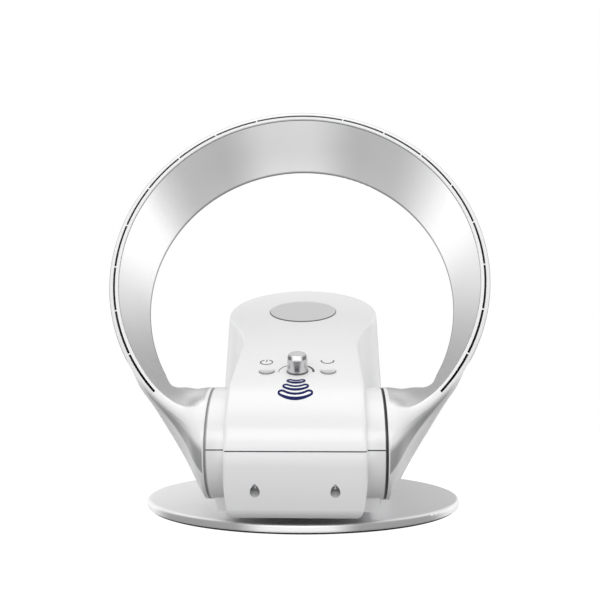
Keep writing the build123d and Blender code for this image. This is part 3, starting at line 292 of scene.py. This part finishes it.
def ring_silver():
    """Satin silver of the inner shell: painted reflections lighten and darken it round the ring, and painted shade
    darkens its narrow back edge.
    """
    material, tree, shader, tone = base_finish("ring_silver", ring_top_painted_light, 0.33, metallic=1.0, mottle=0.015, spread=0.02)
    radius, depth, side, up = ring_place(tree)
    # painted reflections: lighter and darker bands of silver by bearing round the ring
    bearing = maths(tree, "ABSOLUTE", maths(tree, "ADD", maths(tree, "ARCTAN2", side, up), radians(4)))
    for start, stop, level in ring_painted_reflections:
        tone = blended(tree, ramp(tree, bearing, radians(start), radians(stop)), tone, (level, level, level * 1.005))
    # painted shade along the narrow back edge of the inner shell
    back_edge = product(tree, ramp(tree, depth, 0.0655, 0.0685), fall(tree, radius, 0.1350, 0.1365))
    tone = blended(tree, back_edge, tone, back_edge_painted_shade)
    tree.links.new(blended(tree, slot_shade_mask(tree), tone, shade), shader.inputs["Base Color"])
    return material


def arm_paint():
    """White arm: the ring's silver runs on over its upper face, and painted shade lays a grey band in the hollow
    under its front ridge.
    """
    material, tree, shader, tone = base_finish("arm_paint", white, 0.3, **white_look)
    x, y, z = facing(tree)
    _, _, side, _ = ring_place(tree)
    _, back, height = place(tree)
    reach = maths(tree, "ABSOLUTE", side)
    outward = product(tree, x, maths(tree, "SIGN", side))
    upward = maths(tree, "ADD", z, maths(tree, "SUBTRACT", product(tree, y, 0.5), product(tree, outward, 0.3)))
    upper_face = product(tree, ramp(tree, upward, 0.28, 0.44), ramp(tree, reach, 0.0664, 0.0672))
    # painted shade: grey in the hollow under the front ridge, inside the crease and clear of the hub
    below_ridge = ramp(tree, maths(tree, "SUBTRACT", reach, product(tree, height, 1.1)), -0.0070, 0.0012)
    inside_crease = fall(tree, maths(tree, "SUBTRACT", reach, product(tree, height, 0.8)), 0.0281, 0.0303)
    clear_front = product(tree, fall(tree, back, -0.130, -0.124), ramp(tree, reach, 0.0648, 0.0656))
    tone = blended(tree, product(tree, below_ridge, inside_crease, clear_front), tone, arm_hollow_painted_shade)
    tone = blended(tree, upper_face, tone, silver)
    tree.links.new(blended(tree, slot_shade_mask(tree), tone, shade), shader.inputs["Base Color"])
    tree.links.new(upper_face, shader.inputs["Metallic"])
    return material


def foot_metal():
    """Satin disc with painted light: paler on the left, a painted shadow under the body, and a rim with painted
    highlights in front and at its far sides and painted shade between.
    """
    bright = (0.97, 0.97, 0.97)
    material, tree, shader, tone = base_finish("foot_metal", bright, 0.42, mottle=0.02)
    x, y, _ = place(tree)
    _, _, upright = facing(tree)
    rim = fall(tree, upright, 0.3, 0.75)
    aside = maths(tree, "ABSOLUTE", x)
    # painted light: the top is paler on the left and darker on the right
    top = blended(tree, ramp(tree, x, -0.10, 0.10), tone, (0.86, 0.86, 0.87))
    # painted shadow of the body on the disc, in front
    painted_body_shadow = product(tree, fall(tree, y, -0.125, -0.112), fall(tree, aside, 0.042, 0.052))
    top = blended(tree, painted_body_shadow, top, (0.52, 0.52, 0.525))
    # painted highlight on the rim in front and at the far sides, painted shade between
    edge = blended(tree, ramp(tree, aside, 0.022, 0.048), bright, (0.40, 0.40, 0.405))
    edge = blended(tree, ramp(tree, aside, 0.100, 0.124), edge, bright)
    tree.links.new(blended(tree, rim, top, edge), shader.inputs["Base Color"])
    tree.links.new(maths(tree, "MAXIMUM", ramp(tree, x, -0.085, -0.03, 0.05, 0.9), rim), shader.inputs["Metallic"])
    return material


def knob_chrome():
    """Chrome with painted reflections of the streaks its round wall would mirror: pale front, dark wedge below, dark
    shoulders, and painted light on its top.
    """
    material, tree, shader, tone = base_finish("knob_chrome", (0.62, 0.62, 0.63), 0.22, metallic=1.0, mottle=0.02)
    x, y, z = place(tree)
    aside = maths(tree, "ABSOLUTE", x)
    lift = maths(tree, "ADD", product(tree, maths(tree, "SUBTRACT", z, panel_at_knob), cos(panel_slope)),
                 product(tree, maths(tree, "SUBTRACT", y, knob_back), -sin(panel_slope)))
    wedge = maths(tree, "SUBTRACT", aside, product(tree, lift, 0.16))
    band_start = (0.0108, 0.0114)
    dark = product(tree, fall(tree, wedge, 0.0001, 0.0026), fall(tree, lift, *band_start))
    band = between(tree, lift, band_start, (0.0134, 0.0139))
    pale = product(tree, band, fall(tree, aside, 0.0030, 0.0038))
    spots = product(tree, band, between(tree, aside, (0.0036, 0.0044), (0.0064, 0.0072)))
    # painted light on the top; painted reflections: dark wedge, dark spots and a pale front band
    tone = blended(tree, ramp(tree, lift, 0.0136, 0.0141), tone, (0.85, 0.85, 0.86))
    tone = blended(tree, dark, tone, (0.28, 0.28, 0.285))
    tone = blended(tree, spots, tone, (0.20, 0.20, 0.205))
    tone = blended(tree, pale, tone, (0.98, 0.98, 0.98))
    tree.links.new(tone, shader.inputs["Base Color"])
    return material


def badge_silver():
    """Flat silver disc with painted shade as a dark line round its edge, heavier in front."""
    material, tree, shader, tone = base_finish("badge_silver", (0.70, 0.70, 0.70), 0.36, metallic=0.4, mottle=0.03)
    x, y, _ = place(tree)
    forward = maths(tree, "DIVIDE", maths(tree, "SUBTRACT", y, badge_back), cos(panel_slope))
    line = maths(tree, "ADD", length(tree, x, forward), product(tree, forward, -0.025))
    # painted shade round the badge's edge, heavier in front
    tone = blended(tree, ramp(tree, line, 0.0318, 0.0324), tone, (0.10, 0.10, 0.105))
    tree.links.new(tone, shader.inputs["Base Color"])
    return material


def button_white():
    """White button cap with painted shade: grey down its side and darker towards its front edge."""
    material, tree, shader, tone = base_finish("button_white", white, 0.3, **white_look)
    _, y, z = facing(tree)
    upright = maths(tree, "SUBTRACT", product(tree, z, cos(panel_slope)), product(tree, y, sin(panel_slope)))
    _, back, _ = place(tree)
    front = fall(tree, back, knob_back - 0.0056, knob_back + 0.0020)
    # painted shade towards the front edge and down the side
    tone = blended(tree, front, tone, (0.50, 0.50, 0.51))
    tone = blended(tree, fall(tree, upright, 0.3, 0.85), tone, (0.30, 0.30, 0.31))
    tree.links.new(tone, shader.inputs["Base Color"])
    return material


finishes = {
    "white_gloss": body_white("white_gloss", joint_shade_mask),
    "silver_satin": ring_silver(),
    "badge_silver": badge_silver(),
    "foot_metal": foot_metal(),
    "knob_chrome": knob_chrome(),
    "dark_trim": finish("dark_trim", (0.012, 0.012, 0.013), 0.5, grain=0.1),
    "foot_foam": finish("foot_foam", (0.02, 0.02, 0.02), 0.85, grain=0.6, grain_scale=500),
    "seal_rubber": finish("seal_rubber", (0.03, 0.03, 0.03), 0.7, grain=0.2),
    "machine_steel": finish("machine_steel", (0.55, 0.56, 0.58), 0.3, metallic=1.0, grain=0.05),
    "post_aluminium": finish("post_aluminium", (0.58, 0.59, 0.61), 0.45, metallic=1.0, grain=0.25, grain_scale=600),
    "gear_nylon": finish("gear_nylon", (0.78, 0.76, 0.68), 0.5, grain=0.1),
    "duct_plastic": finish("duct_plastic", (0.05, 0.052, 0.058), 0.55, grain=0.2),
    "board_green": finish("board_green", (0.02, 0.12, 0.05), 0.4, coat=0.2),
    "part_black": finish("part_black", (0.015, 0.015, 0.015), 0.45, grain=0.1),
}
own_finishes = {
    "ring_outer_shell": lip_white(),
    "power_button": button_white(),
    "swing_button": button_white(),
    # painted light and shade: the left washer grey and the right one black, as lit from the left
    "hub_washer_left": finish("washer_lit_grey", (0.28, 0.28, 0.285), 0.5, mottle=0.04),
    "hub_washer_right": finish("washer_shaded_black", (0.01, 0.01, 0.01), 0.5, mottle=0.04),
    "knob_bezel": finish("bezel_grey", (0.30, 0.30, 0.305), 0.35, metallic=0.6, mottle=0.04),
}
own_finishes["arm_left"] = own_finishes["arm_right"] = arm_paint()


def dress_nodes():
    """Every node takes the finish of its record slot, or its own where its places differ."""
    for part in frame["record"]["subparts"]:
        node = nodes[part["node"]]
        node.data.materials.clear()
        node.data.materials.append(own_finishes.get(part["node"], finishes[part["material_slot"]]))


dress_nodes()

# ------------------------------------------------------------------ printed marks on the panel
bend = (knob_back - hub.y + front_radius * sin(panel_slope)) / cos(panel_slope)
print_lift = 0.00006         # ink stands this far off the surface
flat_gain = 0.75             # level lines of the print are this much wider than upright ones
mark_line = 0.0008           # line of the small grey marks
marks_aside = -0.0004        # the wave bars stand this far from the knob's middle
navy = finish("print_navy", (0.006, 0.012, 0.10), 0.35, mottle=0.05)
grey = finish("print_grey", (0.10, 0.10, 0.105), 0.4, mottle=0.05)
pure_white = finish("print_white", (0.95, 0.95, 0.95), 0.35, mottle=0.01)
for ink in (navy, grey):
    ink.node_tree.nodes["Principled BSDF"].inputs["Specular IOR Level"].default_value = 0.1


def on_body(u, v, lift=print_lift):
    """Point on the panel, u to the right and v up the slope from the knob; it follows the bend to the round front."""
    if v > -bend:
        y, z = knob_back + v * cos(panel_slope), panel_at_knob + v * sin(panel_slope)
        return Vector((u, y - lift * sin(panel_slope), z + lift * cos(panel_slope)))
    turn = panel_slope + (-bend - v) / front_radius
    reach = front_radius + lift
    return Vector((u, hub.y - reach * sin(turn), hub.z + reach * cos(turn)))


def make_piece(name, points, faces, material, body):
    """Mesh of given points and faces that rides on a body."""
    mesh = bpy.data.meshes.new(name)
    mesh.from_pydata(points, [], faces)
    mesh.materials.append(material)
    mesh.polygons.foreach_set("use_smooth", [True] * len(mesh.polygons))
    piece = bpy.data.objects.new(name, mesh)
    bpy.context.scene.collection.objects.link(piece)
    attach(piece, body)
    return piece


def stroke(name, path, widths, material, closed=False, lift=print_lift):
    """Inked line along a path of (u, v) points, with a width at each point; level lines are printed heavier."""
    count = len(path)
    points = []
    for k, (u, v) in enumerate(path):
        before = path[k - 1] if k or closed else path[k]
        after = path[(k + 1) % count] if k < count - 1 or closed else path[k]
        along = Vector((after[0] - before[0], after[1] - before[1])).normalized()
        half = widths[k] / 2 * (1 + flat_gain * abs(along.x))
        points.append(on_body(u - along.y * half, v + along.x * half, lift))
        points.append(on_body(u + along.y * half, v - along.x * half, lift))
    last = count if closed else count - 1
    faces = [(2 * k, 2 * k + 1, (2 * k + 3) % (2 * count), (2 * k + 2) % (2 * count)) for k in range(last)]
    return make_piece(name, points, faces, material, "housing")


def arc(centre_u, centre_v, radius, start, stop, steps=32):
    """Points of an arc; angles in degrees from the right, counter-clockwise on the panel."""
    turns = [radians(start + (stop - start) * k / (steps - 1)) for k in range(steps)]
    return [(centre_u + radius * cos(t), centre_v + radius * sin(t)) for t in turns]


def wave_bar(name, middle, radius, reach, half, line, bottom_line):
    """Curved bar with rounded ends: white inside, inked outline that is heavier below."""
    centre = middle + radius
    lower = arc(0, centre, radius + half, 270 - reach, 270 + reach)
    upper = arc(0, centre, radius - half, 270 + reach, 270 - reach)
    right_end = (radius * sin(radians(reach)), centre - radius * cos(radians(reach)))
    cap = arc(*right_end, half, 270 + reach, 450 + reach, 10)[1:-1]
    far_cap = arc(-right_end[0], right_end[1], half, 90 - reach, 270 - reach, 10)[1:-1]
    outline = [(u + marks_aside, v) for u, v in lower + cap + upper + far_cap]
    heavy = [line + (bottom_line - line) * sin(radians(180 * k / (len(lower) - 1))) for k in range(len(lower))]
    widths = heavy + [line] * (len(outline) - len(lower))
    stroke(name + "_outline", outline, widths, navy, closed=True, lift=print_lift * 2)
    rows = [(on_body(low[0] + marks_aside, low[1]), on_body(high[0] + marks_aside, high[1]))
            for low, high in zip(lower, reversed(upper))]
    points = [point for row in rows for point in row]
    faces = [(2 * k, 2 * k + 2, 2 * k + 3, 2 * k + 1) for k in range(len(rows) - 1)]
    make_piece(name + "_fill", points, faces, pure_white, "housing")


def make_marks():
    """Three growing wave bars below the knob, a mark above each button and the speed arc round the knob."""
    wave_bar("wave_small", -0.0188, 0.0083, 33, 0.0017, 0.0014, 0.0018)
    wave_bar("wave_middle", -0.0272, 0.0122, 35, 0.0019, 0.0013, 0.0016)
    wave_bar("wave_large", -0.0358, 0.0158, 38, 0.0022, 0.0013, 0.0018)
    power = (-0.0250, 0.0182)
    ring = arc(*power, 0.0047, 115, 425)
    stroke("power_mark_ring", ring, [mark_line] * len(ring), grey)
    stroke("power_mark_bar", [(power[0], power[1] + 0.0004), (power[0], power[1] + 0.0052)], [mark_line] * 2, grey)
    swing = arc(0.0229, 0.0205, 0.0048, 180, 360)
    stroke("swing_mark_arc", swing, [mark_line] * len(swing), grey)
    for side, u in (("left", swing[0][0]), ("right", swing[-1][0])):
        stroke("swing_mark_" + side, [(u, swing[0][1] - 0.0004), (u, swing[0][1] + 0.0016)], [0.0024, 0.0001], grey)
    speed = arc(-0.0010, 0.0, 0.0131, 188, -6, 48)
    growing = [0.0005 + 0.0012 * (k / (len(speed) - 1)) ** 1.5 for k in range(len(speed))]
    stroke("speed_mark", speed, growing, grey)


make_marks()


# ------------------------------------------------------------------ floor, light, camera
def white_seen(tree, shader, seen, mirrored):
    """Adds white to what the camera and a mirror see of a pale surface, and keeps its shadows."""
    path = tree.nodes.new("ShaderNodeLightPath")
    direct = product(tree, path.outputs["Is Camera Ray"], seen)
    glossy = product(tree, path.outputs["Is Glossy Ray"], mirrored)
    shader.inputs["Emission Color"].default_value = (1, 1, 1, 1)
    tree.links.new(maths(tree, "ADD", direct, glossy), shader.inputs["Emission Strength"])


def make_floor(half, tone, seen, mirrored):
    """Square floor under the fan."""
    mesh = bpy.data.meshes.new("floor")
    mesh.from_pydata([(-half, -half, 0), (half, -half, 0), (half, half, 0), (-half, half, 0)], [], [(0, 1, 2, 3)])
    floor = bpy.data.objects.new("floor", mesh)
    bpy.context.scene.collection.objects.link(floor)
    material, tree, shader = principled("floor")
    shader.inputs["Base Color"].default_value = (tone, tone, tone, 1)
    shader.inputs["Roughness"].default_value = 0.9
    shader.inputs["Specular IOR Level"].default_value = 0.1
    white_seen(tree, shader, seen, mirrored)
    mesh.materials.append(material)


def weighed(tree, share, rest, value):
    """Number between two numbers."""
    return maths(tree, "ADD", product(tree, rest, maths(tree, "SUBTRACT", 1.0, share)), product(tree, value, share))


def make_world(front, behind, aside, above, below):
    """Studio round the fan, darker straight behind it and below, and plain white where the camera sees it."""
    world = bpy.data.worlds.new("studio")
    world.use_nodes = True
    tree = world.node_tree
    background = tree.nodes["Background"]
    x, y, z = split(tree, tree.nodes.new("ShaderNodeTexCoord").outputs["Generated"])
    across = maths(tree, "ABSOLUTE", x)
    rear = ramp(tree, across, 0.12, 0.62, behind, aside)
    to_back = ramp(tree, y, -0.3, 0.3)
    level = weighed(tree, to_back, front, rear)
    for low, high, value in ((0.35, 0.8, above), (-0.25, -0.6, below)):
        level = weighed(tree, ramp(tree, z, low, high), level, value)
    plain = tree.nodes.new("ShaderNodeLightPath").outputs["Is Camera Ray"]
    tree.links.new(weighed(tree, plain, level, 1.0), background.inputs["Strength"])
    background.inputs["Color"].default_value = (1, 1, 1, 1)
    bpy.context.scene.world = world


def make_lamp(name, spot, target, width, height, power):
    """Rectangular lamp that faces the target."""
    data = bpy.data.lights.new(name, "AREA")
    data.shape = "RECTANGLE"
    data.size = width
    data.size_y = height
    data.energy = power
    lamp = bpy.data.objects.new(name, data)
    lamp.location = spot
    lamp.rotation_euler = (Vector(target) - Vector(spot)).to_track_quat("-Z", "Y").to_euler()
    bpy.context.scene.collection.objects.link(lamp)


def make_camera():
    """Camera where the photograph's stood."""
    data = bpy.data.cameras.new("camera")
    data.sensor_width = sensor
    data.lens = camera_lens
    camera = bpy.data.objects.new("camera", data)
    camera.location = camera_place
    camera.rotation_euler = (radians(90 + camera_pitch), 0, radians(camera_yaw))
    bpy.context.scene.collection.objects.link(camera)
    bpy.context.scene.camera = camera


make_floor(half=0.9, tone=0.20, seen=0.96, mirrored=0.66)
make_world(front=0.92, behind=0.42, aside=1.25, above=0.77, below=0.12)
fan_middle = (0, -0.05, 0.12)
make_lamp("top", (-0.1, -0.45, 1.2), fan_middle, width=1.0, height=1.0, power=2.5)
make_lamp("front", (0, -1.6, 0.52), fan_middle, width=1.3, height=0.5, power=6)
make_camera()
bpy.context.scene.view_settings.view_transform = "Standard"
